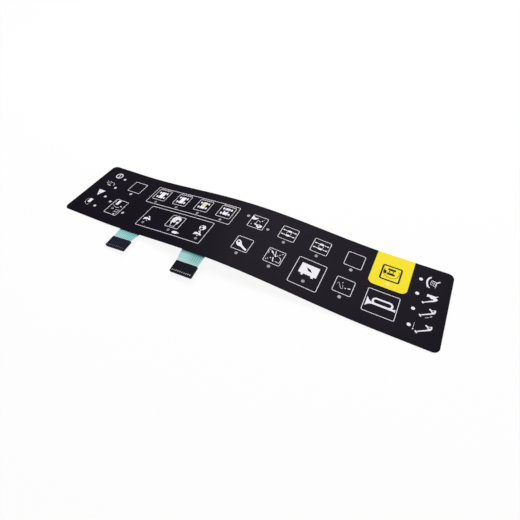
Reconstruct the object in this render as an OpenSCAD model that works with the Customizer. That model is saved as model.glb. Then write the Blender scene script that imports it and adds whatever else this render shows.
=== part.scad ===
// Membrane keypad: a long laminated film panel with printed keys, snap domes and indicator lamps
// between its films, and two flat tails that end in ten-way plugs. Millimetres, +Z up.
// The panel lies loose on a surface, so its middle stands up in one long ripple and its ends lie flat.
// +X runs along the panel, +Y from its tails to its far edge, and the origin is the middle of the
// whole footprint, on the surface that the panel lies on.

/* [Panel] */
// Length of the panel
panel_l = 449.8; // [430:0.2:480]
// Width of the panel
panel_w = 94.7; // [92:0.1:110]
// Corner radius of the panel
corner_r = 6.35; // [3:0.05:10]
// Height of the ripple in the relaxed panel
ripple_h = 10.6; // [6:0.1:14]
// Distance from the middle of the panel to each foot of the ripple
ripple_half = 174; // [160:1:190]
// Length of one flat facet along the ripple
facet_l = 8; // [6:0.5:12]

/* [Films] */
// Thickness of the release liner
liner_t = 0.12; // [0.05:0.01:0.25]
// Thickness of the rear adhesive
rear_adhesive_t = 0.13; // [0.05:0.01:0.25]
// Thickness of the circuit film
circuit_t = 0.18; // [0.12:0.01:0.25]
// Thickness of the component spacer
spacer_t = 0.6; // [0.55:0.01:1]
// Thickness of the overlay adhesive
overlay_adhesive_t = 0.1; // [0.05:0.01:0.2]
// Thickness of the graphic overlay
overlay_t = 0.25; // [0.15:0.01:0.4]
// Thickness of the printed ink
ink_t = 0.04; // [0.02:0.005:0.08]
// How far the overlay stands out past the films under it
overhang = 0.8; // [0.3:0.1:2]

/* [Keys] */
// Side of a small square key, to the middle of its outline
key_s = 18.8; // [14:0.1:20]
// Width of the printed outlines
line_w = 0.6; // [0.4:0.05:1.5]
// Width of the black outline left round the yellow key
yellow_line_w = 1.7; // [0.5:0.1:2]
// Corner radius of the printed outlines
outline_r = 1.4; // [0.8:0.1:3]
// Upper row of keys, from the middle of the panel
upper_y = 22.1; // [20:0.1:24]
// Lower row of keys, from the middle of the panel
lower_y = -14.4; // [-16:0.1:-13]
// Middle of the left column of keys
left_x = -163.9; // [-166:0.1:-160]
// Middle of the boxed group of keys
group_x = -75.2; // [-77:0.1:-73]
// Pitch of the keys in the boxed group
group_pitch = 31.75; // [29:0.05:33]
// First of the right-hand columns of keys
first_x = 14.45; // [12:0.05:16]
// Pitch of the right-hand columns of keys
column_pitch = 38.1; // [37:0.1:39]
// Height of the tall key in the left column
tall_h = 25.4; // [20:0.1:27]
// Middle of the tall key
tall_y = -19.4; // [-21:0.1:-18]
// Width of the big key in the lower row
big_w = 30.5; // [26:0.1:33]
// Height of the big key in the lower row
big_h = 34.6; // [32:0.1:36]
// Middle of the big key
big_y = -17.8; // [-19:0.1:-17]
// How far the big key stands to the right of its column
big_shift = 0.5; // [-1:0.1:1]
// Width of the wide key at the end of the lower row
wide_w = 31; // [26:0.1:33]
// Height of the wide key at the end of the lower row
wide_h = 27.5; // [22:0.1:30]
// Middle of the wide key
wide_y = -18; // [-20:0.1:-17]
// Width of the box round the upper group
upper_box_w = 121.8; // [118:0.1:130]
// Height of the box round the upper group
upper_box_h = 29.7; // [28:0.1:32]
// Middle of the box round the upper group
upper_box_y = 19.5; // [18.5:0.1:20]
// Width of the box round the lower group
lower_box_w = 90.7; // [84:0.1:100]
// Height of the box round the lower group
lower_box_h = 34.4; // [32:0.1:36]
// Middle of the box round the lower group
lower_box_y = -17.1; // [-18:0.1:-16]
// Width of the yellow field
yellow_w = 38.8; // [30:0.1:42]
// Front edge of the yellow field, from the middle of the panel
yellow_y = 2.2; // [0:0.1:4]
// Radius of the yellow field's two front corners
yellow_r = 6; // [2:0.1:8]

/* [Indicators] */
// Diameter of an indicator window
window_d = 3.6; // [2.8:0.1:4.5]
// Distance from a key's row down to its indicator
lamp_drop = 14; // [12.5:0.1:14.5]
// Pitch of the indicators in the two end columns
side_pitch = 19.05; // [17:0.05:20]
// Column of indicators at the left end
left_lamp_x = -191.4; // [-195:0.1:-186]
// Column of indicators at the right end
right_lamp_x = 195.3; // [190:0.1:200]
// How far a pair of indicators stands to the sides of its key
pair_x = 14.8; // [13:0.1:16]
// How far a pair of indicators stands above and below the middle of its key
pair_y = 5; // [4:0.1:7]
// Length of a lamp
lamp_l = 2; // [1.6:0.1:2.4]
// Width of a lamp
lamp_w = 1.25; // [0.8:0.05:1.6]
// Height of a lamp
lamp_h = 0.45; // [0.3:0.05:0.5]
// Height of a lamp's base under its lens
lamp_base_h = 0.2; // [0.1:0.05:0.25]
// Length of a lamp's lens
lens_l = 1.3; // [0.8:0.1:1.5]

/* [Snap domes] */
// Diameter of a snap dome
dome_d = 10; // [8:0.1:12]
// Height of a snap dome
dome_h = 0.42; // [0.3:0.01:0.46]
// Thickness of a snap dome's steel
dome_t = 0.08; // [0.05:0.01:0.12]
// Radius of the four cut-outs between a snap dome's feet
cut_r = 4; // [3:0.1:5]
// Depth of the cut-outs between a snap dome's feet
cut_d = 1; // [0.6:0.1:1.4]
// Radial room round a snap dome in its cavity
dome_room = 0.75; // [0.5:0.05:1.2]
// Gap under domes and lamps, where the film bends away from them
seat_gap = 0.04; // [0.03:0.005:0.06]
// Width of the vent channels between cavities
vent_w = 1; // [0.6:0.1:2]

/* [Tails] */
// Middle of the left tail
left_tail_x = -117; // [-121:0.5:-114]
// Middle of the right tail
right_tail_x = -27; // [-32:0.5:-24]
// Length of tail between the panel and its plug
tail_out = 12.9; // [9:0.1:25]
// Width of a tail where it leaves the panel, from which it narrows to its plug
tail_root_w = 29.6; // [28:0.1:32]
// How far the left tail sags before the surface stops its plug
left_sag = 1; // [0:0.1:3]
// How far the right tail sags
right_sag = 3.5; // [1:0.1:4]
// Angle at which the left plug lies nose down, in degrees
left_dip = 3.5; // [0:0.5:8]
// Angle at which the right plug hangs nose down, in degrees
right_dip = 7.5; // [0:0.5:9]
// Angle by which the tails twist their plugs further over than the panel's slope, in degrees
tail_twist = 2.5; // [0:0.5:4]
// Depth of the printed coating's step where a tail leaves its film
coat_step = 0.01; // [0.005:0.005:0.02]

/* [Plugs] */
// Number of contacts in a plug
ways = 10; // [8:1:11]
// Pitch of the contacts
pitch = 2.54; // [2.54:0.01:2.6]
// Housing at each end, outside the contacts' pitch
end_wall = 0.8; // [0.7:0.05:1.2]
// Length of a plug
plug_l = 14.4; // [13:0.1:16]
// Height of a plug
plug_h = 3; // [2.9:0.1:4]
// Corner radius of a plug seen from above
plug_r = 0.7; // [0.4:0.1:1]
// Bevel on a plug's long edges
plug_bevel = 0.35; // [0.2:0.05:0.5]
// Side of a contact's cavity
cavity_s = 2; // [1.8:0.05:2.1]
// Thickness of a plug's front wall
front_wall = 1; // [0.8:0.1:1.5]
// Side of the hole that takes a header post
entry_s = 0.9; // [0.8:0.05:1.1]
// Side of the step that leads a header post in
lead_s = 1.5; // [1.3:0.1:1.7]
// Depth of the step that leads a header post in
lead_d = 0.35; // [0.2:0.05:0.5]
// Length of a contact's window in the housing
window_l = 2; // [1:0.1:2.5]
// Width of a contact's window in the housing
window_w = 1.3; // [0.8:0.1:1.5]
// Distance of the windows behind the front wall
window_back = 0.9; // [0.3:0.1:1.5]
// Room round a contact in its cavity
contact_room = 0.15; // [0.1:0.01:0.2]
// Thickness of a contact's metal
contact_t = 0.2; // [0.15:0.01:0.25]
// Length of a contact's box
contact_box_l = 5.6; // [4.5:0.1:6]
// Length of the jaws that a contact closes on the tail
jaw_l = 4.2; // [3:0.1:4.6]
// Gap between a tail and what closes on it
film_gap = 0.02; // [0.01:0.01:0.04]
// Room at each edge of a tail in its slot
slot_room = 0.2; // [0.1:0.05:0.3]
// How much narrower a tail is than its plug, at each edge
tail_margin = 0.55; // [0.5:0.05:0.8]

/* [Hidden] */
$fn = 48;
arc_fn = 720;
over = 1;

// Heights of the films above the surface, where the panel lies flat.
rear_adhesive_z = liner_t;
circuit_z = rear_adhesive_z + rear_adhesive_t;
spacer_z = circuit_z + circuit_t;
overlay_adhesive_z = spacer_z + spacer_t;
overlay_z = overlay_adhesive_z + overlay_adhesive_t;
ink_z = overlay_z + overlay_t;

// The ripple is one period of a cosine between its feet, cut into flat facets.
facets = 2 * round(ripple_half / facet_l);
stations = concat(
    [-panel_l / 2],
    [for (i = [0 : facets]) ripple_half * (2 * i / facets - 1)],
    [panel_l / 2]
);
function ripple(x) = abs(x) < ripple_half ? ripple_h * (1 + cos(180 * x / ripple_half)) / 2 : 0;
ripple_table = [for (x = stations) [x, ripple(x)]];
function rise(x) = lookup(x, ripple_table);
// Slope of the chord that spans a piece of the given length, in degrees.
function slope(x, span) = atan((rise(x + span / 2) - rise(x - span / 2)) / span);

// Keys as [x, y, width, height], each row from left to right.
right_x = first_x + 4 * column_pitch;
keys = concat(
    [[left_x, upper_y, key_s, key_s], [left_x, tall_y, key_s, tall_h]],
    [for (i = [0 : 3]) [group_x + (i - 1.5) * group_pitch, upper_y, key_s, key_s]],
    [[group_x, lower_y, key_s, key_s]],
    [for (i = [0 : 3]) [first_x + i * column_pitch, upper_y, key_s, key_s]],
    [for (i = [0 : 3]) i == 2 ? [first_x + i * column_pitch + big_shift, big_y, big_w, big_h]
                              : [first_x + i * column_pitch, lower_y, key_s, key_s]],
    [[right_x, upper_y, key_s, key_s], [right_x, wide_y, wide_w, wide_h]]
);
yellow_key = [right_x, upper_y, key_s, key_s];
upper_keys = [for (k = keys) if (k.y > 0) k];
lower_keys = [for (k = keys) if (k.y < 0) k];

// Indicators: two end columns, then one below each single key, then the pairs.
side_lamps = [for (x = [left_lamp_x, right_lamp_x]) for (i = [0 : 3]) [x, (1.5 - i) * side_pitch]];
lamp_row_x = [for (i = [0 : 3]) group_x + (i - 1.5) * group_pitch];
key_lamps = concat(
    [for (x = concat([left_x], lamp_row_x)) [x, upper_y - lamp_drop]],
    [for (i = [1 : 4]) [first_x + i * column_pitch, upper_y - lamp_drop]],
    [for (i = [-1 : 1]) [group_x + i * column_pitch, lower_y - lamp_drop]],
    [for (i = [0 : 3]) [first_x + i * column_pitch, lower_y - lamp_drop]],
    [for (k = [[left_x, tall_y], [first_x, upper_y]]) for (s = [-1, 1]) k + [s * pair_x, -s * pair_y]]
);
lamps = concat(side_lamps, key_lamps);

// Tails and plugs. A plug's own frame has its origin at the tail's middle, on the plug's rear face.
plug_w = ways * pitch + 2 * end_wall;
tail_w = plug_w - 2 * tail_margin;
tail_t = circuit_t - 2 * coat_step;
tail_in = plug_l - front_wall - contact_room - contact_box_l - contact_t - film_gap;
root_y = -panel_w / 2 + overhang;
plug_y = -panel_w / 2 - tail_out;
tail_mid_z = circuit_z + circuit_t / 2;
function reach(dip) = plug_l * cos(dip) + (plug_h / 2 - plug_bevel) * sin(dip);
panel_y = (tail_out + max(reach(left_dip), reach(right_dip))) / 2;
// Lowest height of a plug's origin at which its corner only touches the surface.
function plug_floor(tilt, dip) =
    plug_w / 2 * sin(abs(tilt)) + (plug_l * sin(dip) + plug_h / 2 * cos(dip)) * cos(tilt);
// A tail as [x, sideways tilt, dip, height of its plug].
function tail(x, sag, dip) =
    let (tilt = slope(x, tail_w) + tail_twist)
    [x, tilt, dip, max(rise(x) + tail_mid_z - sag, plug_floor(tilt, dip))];
left_tail = tail(left_tail_x, left_sag, left_dip);
right_tail = tail(right_tail_x, right_sag, right_dip);

function number(i) = str(i < 9 ? "0" : "", i + 1);
function dome_name(i) = str("snap_dome_", number(i));
function lamp_name(i) = str("indicator_lamp_", number(i));

// Plane shapes

module rounded_rectangle(w, h, r) {
    square([w - 2 * r, h], center = true);
    square([w, h - 2 * r], center = true);
    for (x = [-1, 1])
        for (y = [-1, 1])
            translate([x * (w / 2 - r), y * (h / 2 - r)])
                circle(r);
}

module outline_ring(w, h, line = line_w) {
    difference() {
        rounded_rectangle(w + line, h + line, outline_r + line / 2);
        rounded_rectangle(w - line, h - line, outline_r - line / 2);
    }
}

module panel_shape(inset = 0) {
    rounded_rectangle(panel_l - 2 * inset, panel_w - 2 * inset, corner_r - inset);
}

module key_rings() {
    for (k = keys)
        if (k != yellow_key)
            translate([k[0], k[1]])
                outline_ring(k[2], k[3]);
    translate([group_x, upper_box_y])
        outline_ring(upper_box_w, upper_box_h);
    translate([group_x, lower_box_y])
        outline_ring(lower_box_w, lower_box_h);
}

module discs(places, d) {
    for (p = places)
        translate(p)
            circle(d = d);
}

// A straight channel from one cavity to the next in its row.
module vent(from, to) {
    run = [to.x - from.x, to.y - from.y];
    translate([from.x, from.y])
        rotate(atan2(run.y, run.x))
            translate([0, -vent_w / 2])
                square([norm(run), vent_w]);
}

module vents(row) {
    for (i = [0 : len(row) - 2])
        vent(row[i], row[i + 1]);
}

module dome_cavities() {
    discs([for (k = keys) [k.x, k.y]], dome_d + 2 * dome_room);
}

// One film of the laminate: a plane shape carried up onto the ripple, between two heights.
module film(z, t) {
    low = [for (p = ripple_table) [p.x, p.y + z]];
    high = [for (i = [len(ripple_table) - 1 : -1 : 0]) ripple_table[i] + [0, z + t]];
    translate([0, panel_y, 0])
        intersection() {
            rotate([90, 0, 0])
                linear_extrude(panel_w + 2 * over, center = true)
                    polygon(concat(low, high));
            translate([0, 0, -over])
                linear_extrude(ripple_h + ink_z + 2 * over)
                    children();
        }
}

// Stands a piece on the rippled film at a height, turned to the slope under it.
module on_film(place, z, span) {
    translate([place.x, panel_y + place.y, rise(place.x) + z])
        rotate([0, -slope(place.x, span), 0])
            children();
}

// Films

module release_liner() {
    color([0.87, 0.82, 0.68])
        film(0, liner_t)
            panel_shape(overhang);
}

module rear_adhesive() {
    color([0.82, 0.82, 0.78])
        film(rear_adhesive_z, rear_adhesive_t)
            panel_shape(overhang);
}

// Height of a tail's middle surface: it leaves the ripple, sags, and lies flat in its plug.
function tail_z(tail, x, y) =
    let (
        run = root_y - plug_y,
        s = min(max((root_y - y) / run, 0), 1),
        ease = 3 * s * s - 2 * s * s * s,
        dip_run = tan(tail[2]) / cos(tail[1]),
        lean = tail[3] + tan(tail[1]) * (x - tail[0]),
        bend = dip_run * run * (s * s - s * s * s)
    )
    y > plug_y ? (1 - ease) * (rise(x) + tail_mid_z) + ease * lean + bend
               : lean + dip_run * (y - plug_y);

// Width of a tail along its run, as a share of its width at the root.
function tail_share(y) =
    let (s = min(max((root_y - y) / (root_y - plug_y), 0), 1))
    1 + (tail_w / tail_root_w - 1) * s;

// A tail is a thin slab over a grid: columns across it, at the ripple's stations where it leaves the
// panel, and rows along it.
module tail_film(tail) {
    x0 = tail[0] - tail_root_w / 2;
    x1 = tail[0] + tail_root_w / 2;
    columns = concat([x0], [for (x = stations) if (x > x0 + over && x < x1 - over) x], [x1]);
    steps = 8;
    rows = concat(
        [root_y + overhang],
        [for (i = [0 : steps]) root_y + (plug_y - root_y) * i / steps],
        [plug_y - tail_in * cos(tail[2])]
    );
    n = len(columns);
    m = len(rows);
    top = [for (y = rows) for (c = columns)
        let (x = tail[0] + (c - tail[0]) * tail_share(y))
        [x, y + panel_y, tail_z(tail, x, y) + tail_t / 2]];
    below = [for (p = top) p - [0, 0, tail_t]];
    function at(i, j, side) = side * n * m + j * n + i;
    upper = [for (j = [0 : m - 2]) for (i = [0 : n - 2]) for (f = [
        [at(i, j, 0), at(i + 1, j, 0), at(i + 1, j + 1, 0)],
        [at(i, j, 0), at(i + 1, j + 1, 0), at(i, j + 1, 0)]]) f];
    lower = [for (f = upper) [for (k = [2 : -1 : 0]) f[k] + n * m]];
    ends = [for (i = [0 : n - 2]) for (f = [
        [at(i, 0, 1), at(i + 1, 0, 1), at(i + 1, 0, 0), at(i, 0, 0)],
        [at(i + 1, m - 1, 1), at(i, m - 1, 1), at(i, m - 1, 0), at(i + 1, m - 1, 0)]]) f];
    sides = [for (j = [0 : m - 2]) for (f = [
        [at(0, j + 1, 1), at(0, j, 1), at(0, j, 0), at(0, j + 1, 0)],
        [at(n - 1, j, 1), at(n - 1, j + 1, 1), at(n - 1, j + 1, 0), at(n - 1, j, 0)]]) f];
    polyhedron(concat(top, below), concat(upper, lower, ends, sides));
}

module circuit_film() {
    color([0.56, 0.82, 0.79]) {
        film(circuit_z, circuit_t)
            panel_shape(overhang);
        tail_film(left_tail);
        tail_film(right_tail);
    }
}

module component_spacer() {
    color([0.9, 0.9, 0.9])
        film(spacer_z, spacer_t)
            difference() {
                panel_shape(overhang);
                dome_cavities();
                discs(lamps, window_d);
                vents(upper_keys);
                vents(lower_keys);
            }
}

module overlay_adhesive() {
    color([0.8, 0.8, 0.78])
        film(overlay_adhesive_z, overlay_adhesive_t)
            difference() {
                panel_shape(overhang);
                dome_cavities();
                discs(lamps, window_d);
            }
}

module graphic_overlay() {
    color([0.13, 0.12, 0.15])
        film(overlay_z, overlay_t)
            panel_shape();
}

// Print

module yellow_field() {
    field_h = panel_w - yellow_y;
    color([0.98, 0.89, 0.2])
        film(ink_z, ink_t)
            difference() {
                intersection() {
                    translate([right_x, yellow_y + field_h / 2])
                        rounded_rectangle(yellow_w, field_h, yellow_r);
                    panel_shape();
                }
                translate([yellow_key[0], yellow_key[1]])
                    outline_ring(yellow_key[2], yellow_key[3], yellow_line_w);
                discs(key_lamps, window_d);
            }
}

module key_outlines() {
    color([0.92, 0.91, 0.94])
        film(ink_z, ink_t)
            key_rings();
}

module side_windows() {
    color([0.96, 0.96, 0.97])
        film(ink_z, ink_t)
            discs(side_lamps, window_d);
}

module key_windows() {
    color([0.66, 0.65, 0.69])
        film(ink_z, ink_t)
            discs(key_lamps, window_d);
}

// Parts between the films

// A shallow cap of a sphere with four feet, left between four round cut-outs in its rim.
module snap_dome(place) {
    rim = dome_d / 2;
    ball = (rim * rim + dome_h * dome_h) / (2 * dome_h);
    color([0.78, 0.78, 0.76])
        on_film(place, spacer_z + seat_gap, dome_d)
            difference() {
                rotate_extrude()
                    intersection() {
                        translate([0, dome_h - ball])
                            difference() {
                                circle(ball, $fn = arc_fn);
                                circle(ball - dome_t, $fn = arc_fn);
                            }
                        square([rim + over, dome_h + over]);
                    }
                for (a = [0 : 90 : 270])
                    rotate(a)
                        translate([rim + cut_r - cut_d, 0, -over])
                            cylinder(r = cut_r, h = dome_h + 2 * over);
            }
}

// A chip lamp: a base with its lens on top.
module indicator_lamp(place) {
    color([0.95, 0.94, 0.88])
        on_film(place, spacer_z + seat_gap, lamp_l) {
            translate([-lamp_l / 2, -lamp_w / 2, 0])
                cube([lamp_l, lamp_w, lamp_base_h]);
            translate([-lens_l / 2, -lamp_w / 2, 0])
                cube([lens_l, lamp_w, lamp_h]);
        }
}

// Plugs

module on_tail(tail) {
    translate([tail[0], panel_y + plug_y, tail[3]])
        rotate([tail[2], -tail[1], 0])
            children();
}

function way_x(i) = (i - (ways - 1) / 2) * pitch;

// A block centred across a way and on the tail's height, from y0 to y1.
module way_block(i, w, h, y0, y1, z = 0) {
    translate([way_x(i) - w / 2, y0, z - h / 2])
        cube([w, y1 - y0, h]);
}

// The moulded block: bevelled along its front and rear, round at its corners.
module plug_body() {
    y = [-plug_l, -plug_l + plug_bevel, -plug_bevel, 0];
    z = plug_h / 2;
    b = z - plug_bevel;
    intersection() {
        translate([0, -plug_l / 2, -z - over])
            linear_extrude(plug_h + 2 * over)
                rounded_rectangle(plug_w, plug_l, plug_r);
        rotate([90, 0, 90])
            linear_extrude(plug_w + 2 * over, center = true)
                polygon([[y[0], -b], [y[1], -z], [y[2], -z], [y[3], -b],
                         [y[3], b], [y[2], z], [y[1], z], [y[0], b]]);
    }
}

module plug_housing(tail) {
    slot_w = tail_w + 2 * slot_room;
    slot_h = circuit_t + 4 * film_gap;
    front = -plug_l;
    windows_y = front + front_wall + window_back;
    color([0.12, 0.12, 0.15])
        on_tail(tail)
            difference() {
                plug_body();
                translate([-slot_w / 2, -tail_in - slot_room, -slot_h / 2])
                    cube([slot_w, tail_in + slot_room + over, slot_h]);
                for (i = [0 : ways - 1]) {
                    way_block(i, cavity_s, cavity_s, front + front_wall, over);
                    way_block(i, entry_s, entry_s, front - over, front + front_wall + over);
                    way_block(i, lead_s, lead_s, front - over, front + lead_d);
                    way_block(i, window_w, plug_h, windows_y, windows_y + window_l, plug_h / 2 + contact_t);
                }
            }
}

// Ten crimp contacts: a box that takes a post, closed behind, and two jaws on the tail's faces.
module plug_contacts(tail) {
    box_s = cavity_s - 2 * contact_room;
    bore_s = box_s - 2 * contact_t;
    box_y = -plug_l + front_wall + contact_room;
    back_y = box_y + contact_box_l;
    jaw_z = circuit_t / 2 + film_gap + contact_t / 2;
    color([0.83, 0.82, 0.78])
        on_tail(tail)
            for (i = [0 : ways - 1]) {
                difference() {
                    way_block(i, box_s, box_s, box_y, back_y + contact_t);
                    way_block(i, bore_s, bore_s, box_y - over, back_y);
                }
                for (s = [-1, 1])
                    way_block(i, bore_s, contact_t, back_y, back_y + contact_t + jaw_l, s * jaw_z);
            }
}

release_liner();
rear_adhesive();
circuit_film();
component_spacer();
overlay_adhesive();
graphic_overlay();
yellow_field();
key_outlines();
side_windows();
key_windows();
for (i = [0 : len(keys) - 1])
    snap_dome(keys[i]);
for (i = [0 : len(lamps) - 1])
    indicator_lamp(lamps[i]);
plug_housing(left_tail);  // left_plug_housing
plug_contacts(left_tail);  // left_plug_contacts
plug_housing(right_tail);  // right_plug_housing
plug_contacts(right_tail);  // right_plug_contacts
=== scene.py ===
"""Looks of the membrane keypad: smooth films, ribbed tails, printed pictograms and every surface's finish."""

import math
from collections import namedtuple

import bmesh
import bpy
import numpy as np
from bpy.props import FloatProperty, FloatVectorProperty, PointerProperty
from bpy.types import Operator, Panel, PropertyGroup
from mathutils import Euler, Matrix, Vector


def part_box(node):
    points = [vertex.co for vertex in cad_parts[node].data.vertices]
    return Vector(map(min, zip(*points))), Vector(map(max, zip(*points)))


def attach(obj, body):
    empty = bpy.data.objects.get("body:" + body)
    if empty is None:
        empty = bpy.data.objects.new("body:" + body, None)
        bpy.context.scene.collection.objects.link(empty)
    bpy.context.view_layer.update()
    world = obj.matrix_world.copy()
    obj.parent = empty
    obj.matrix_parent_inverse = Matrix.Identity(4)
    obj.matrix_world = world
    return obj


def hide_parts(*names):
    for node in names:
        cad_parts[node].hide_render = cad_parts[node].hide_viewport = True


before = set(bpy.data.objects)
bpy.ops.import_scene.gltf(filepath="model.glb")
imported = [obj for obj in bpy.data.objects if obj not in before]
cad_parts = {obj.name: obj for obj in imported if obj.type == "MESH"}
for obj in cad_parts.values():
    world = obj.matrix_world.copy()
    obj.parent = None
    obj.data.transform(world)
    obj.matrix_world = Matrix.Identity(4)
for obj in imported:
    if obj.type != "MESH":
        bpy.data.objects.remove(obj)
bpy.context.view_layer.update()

bl_info = {
    "name": "Membrane keypad",
    "version": (1, 0, 0),
    "blender": (4, 5, 0),
    "location": "3D View > Sidebar > Keypad",
    "description": "Dresses a laminated membrane keypad with smooth films, print, tails and plugs",
    "category": "Object",
}

# Sizes read from the frame, in metres
MM = 0.001
BODY = "root"
overlay_low, overlay_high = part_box("graphic_overlay")
liner_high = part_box("release_liner")[1]
PANEL_L = overlay_high.x - overlay_low.x
PANEL_W = overlay_high.y - overlay_low.y
PANEL_Y = (overlay_high.y + overlay_low.y) / 2
OVERHANG = overlay_high.y - liner_high.y
LINER_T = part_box("rear_adhesive")[0].z
CIRCUIT_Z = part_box("component_spacer")[0].z
OVERLAY_Z = overlay_low.z
INK_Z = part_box("side_windows")[0].z
INK_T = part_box("side_windows")[1].z - INK_Z
RIPPLE_H = liner_high.z - LINER_T

# Sizes that the frame's boxes don't give, in metres and degrees
CORNER_R = 6.35 * MM
RIPPLE_HALF = 174 * MM
CIRCUIT_T = 0.18 * MM
TAIL_W = 25.9 * MM
TAIL_ROOT_W = 29.6 * MM
TAIL_T = 0.16 * MM
TAIL_IN = 7.4 * MM
TAIL_TWIST = 2.5
TAIL_MARGIN = 1.9 * MM
SHOULDER = 0.1 * MM
RIB_FADE = 1 * MM
PLUG_L = 14.4 * MM
WAYS = 10
PITCH = 2.54 * MM

# Floor and soft light, in metres
FLOOR_HALF = 4.0
FLOOR_GAP = 0.02 * MM
SOFTBOX_AT = (-0.2, 1.0, 1.5)
SOFTBOX_W = 1.5
SOFTBOX_H = 1.0

# How each tail lies and looks: its plug's dip in degrees, how far its root stands to the right of its plug,
# the painted shadow at its root, where the panel shades it, and its reach, the painted glare that pales its
# left half and plug end, and the painted light and shade on its plug's plastic and tin
Tail = namedtuple("Tail", "side dip skew root_shade shade_run paler plug_tone tin_tone")
TAILS = (
    Tail(side="left", dip=3.5, skew=-1.2 * MM, root_shade=0.3, shade_run=8 * MM, paler=0.25,
         plug_tone=1.8, tin_tone=0.4),
    Tail(side="right", dip=7.5, skew=-0.4 * MM, root_shade=0.78, shade_run=4.5 * MM, paler=0.85,
         plug_tone=0.75, tin_tone=1.0),
)

# Colours beside the settings, as linear red, green, blue and alpha
# Painted glare and painted light on the tails' coat: the pale colours its left half and plug end turn to
COAT_GLARE = (0.47, 0.84, 0.82, 1)
COAT_PLUG_LIGHT = (0.72, 0.98, 0.93, 1)
COAT_EDGE = (0.52, 0.70, 0.70, 1)
BARE_FILM = (0.38, 0.62, 0.62, 1)
BARE_TRACE = (0.56, 0.76, 0.76, 1)
CLEAR_MARGIN = (0.70, 0.83, 0.82, 1)
WARM_BLACK = (0.010, 0.007, 0.002, 1)
TIN = (0.95, 0.94, 0.92, 1)
STEEL = (0.74, 0.74, 0.72, 1)
RESIN_DULL = (0.86, 0.84, 0.74, 1)
RESIN_CLEAR = (0.95, 0.93, 0.86, 1)
LINER = (0.74, 0.66, 0.48, 1)
CLEAR_FILM = (0.52, 0.72, 0.70, 1)
GLUE = (0.66, 0.66, 0.62, 1)
WHITE_FILM = (0.82, 0.82, 0.82, 1)

# Places of windows of one tone, as low and high X and Y in millimetres
LEFT_END = (-200, -185, -60, 60)
LEFT_COLUMN = (-190, -140, -60, 60)
TOP_MIDDLE = (-15, 15, 35, 60)
LAST_COLUMN = (115, 145, -60, 60)
YELLOW_END = (150, 190, 0, 40)

# Keys by their snap domes' numbers, and the offsets of two signs in millimetres
LEVER, STEERING, GAUGE, CLAWS, RAILS = 2, (3, 4, 5, 6), 7, 8, (9, 10)
STARTER, FAN, GENERATOR, WAVE, YELLOW, HORN = 12, 13, 14, 15, 16, 17
WARNING_AT = (-12.5, 3.6)
DISC_AT = (36.3, 3.5)

# Steps of the surfaces' grids
SIDE_STEPS = 220
CORNER_STEPS = 10
ACROSS_STEPS = 24
EDGE_STEPS = 5
TAIL_ROWS = 60
HELD_ROWS = 13
TAIL_COLUMNS = 280
CURVE_STEPS = 10
ARC_STEPS = 24
DISC_STEPS = 32

# Longest cell of print in millimetres, room for marks under the top ones, and limits for meshes
PRINT_STEP = 1.6
TOP_MARKS = 60
MERGE = 1e-6
SHARP_ANGLE = math.radians(35)


# Settings


def pigment(name, description, *rgb):
    """A colour setting, as linear red, green and blue."""
    return FloatVectorProperty(name=name, description=description, subtype="COLOR", size=4, default=(*rgb, 1))


def length(name, description, default):
    """A length setting, in metres."""
    return FloatProperty(name=name, description=description, unit="LENGTH", default=default)


def angle(name, description, degrees):
    """An angle setting, given in degrees."""
    return FloatProperty(name=name, description=description, subtype="ANGLE", default=math.radians(degrees))


class KeypadColours(PropertyGroup):
    """Colours of the films, inks and plugs"""

    film_black: pigment("Film black", "Matt black of the graphic overlay", 0.0052, 0.0034, 0.0090)
    ink_white: pigment("White ink", "Outlines and pictograms", 0.91, 0.88, 0.94)
    ink_yellow: pigment("Yellow ink", "Field round the yellow key", 0.96, 0.79, 0.02)
    ink_amber: pigment("Amber ink", "Body of the third chassis", 0.78, 0.68, 0.36)
    ink_blue: pigment("Blue ink", "Body of the fourth chassis", 0.020, 0.050, 0.140)
    window_white: pigment("White window", "Indicator windows at the panel's ends", 0.88, 0.88, 0.90)
    window_grey: pigment("Grey window", "Indicator windows beside the keys", 0.275, 0.265, 0.295)
    window_pale: pigment("Pale window", "Indicator windows of the left column of keys", 0.62, 0.60, 0.64)
    window_light: pigment("Light window", "Windows of the top key and of the last column", 0.39, 0.38, 0.41)
    window_cream: pigment("Cream window", "Indicator window on the yellow field", 0.96, 0.785, 0.27)
    coat_teal: pigment("Tail coat", "Printed coating between the traces of a tail", 0.115, 0.385, 0.38)
    trace_pale: pigment("Coated trace", "Silver trace seen through the coating", 0.34, 0.69, 0.685)
    plug_black: pigment("Plug black", "Moulded plug housings", 0.0060, 0.0063, 0.0145)


class KeypadSizes(PropertyGroup):
    """Fine sizes of films and print"""

    edge_round: length("Edge rounding", "Radius on the punched edge of a film", 0.05 * MM)
    ink_sink: length("Ink key", "How far the ink keys into the film under it", 0.02 * MM)
    ink_step: length("Ink step", "How much higher each mark lies than the mark before it", 0.0004 * MM)
    trace_w: length("Trace width", "Width of a silver trace on a tail", 1.45 * MM)
    rib_h: length("Trace height", "How far a trace stands up under the coating", 0.03 * MM)


class KeypadStage(PropertyGroup):
    """Floor, light and camera"""

    floor: pigment("Floor", "Colour of the pale floor", 0.94, 0.94, 0.94)
    floor_white: FloatProperty(
        name="Floor white", description="Share of plain white that the camera sees in the floor",
        subtype="FACTOR", min=0, max=1, default=0.9)
    world: FloatProperty(
        name="Room light", description="Strength of the even light from all round", default=0.3)
    key_power: FloatProperty(
        name="Key light", description="Power of the large soft light", unit="POWER", default=31)
    camera_place: FloatVectorProperty(
        name="Camera", description="Place of the camera", subtype="XYZ", unit="LENGTH",
        default=(0.155744, -0.215207, 0.2907))
    camera_azimuth: angle("Azimuth", "Turn of the camera to the right of the panel's front", 29.37)
    camera_elevation: angle("Elevation", "How steeply the camera looks down", 50.2)
    camera_roll: angle("Roll", "Turn of the camera about its own axis", -3.05)
    camera_lens: FloatProperty(
        name="Lens", description="Focal length on a 36 mm sensor", unit="CAMERA", default=24.333)


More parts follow.
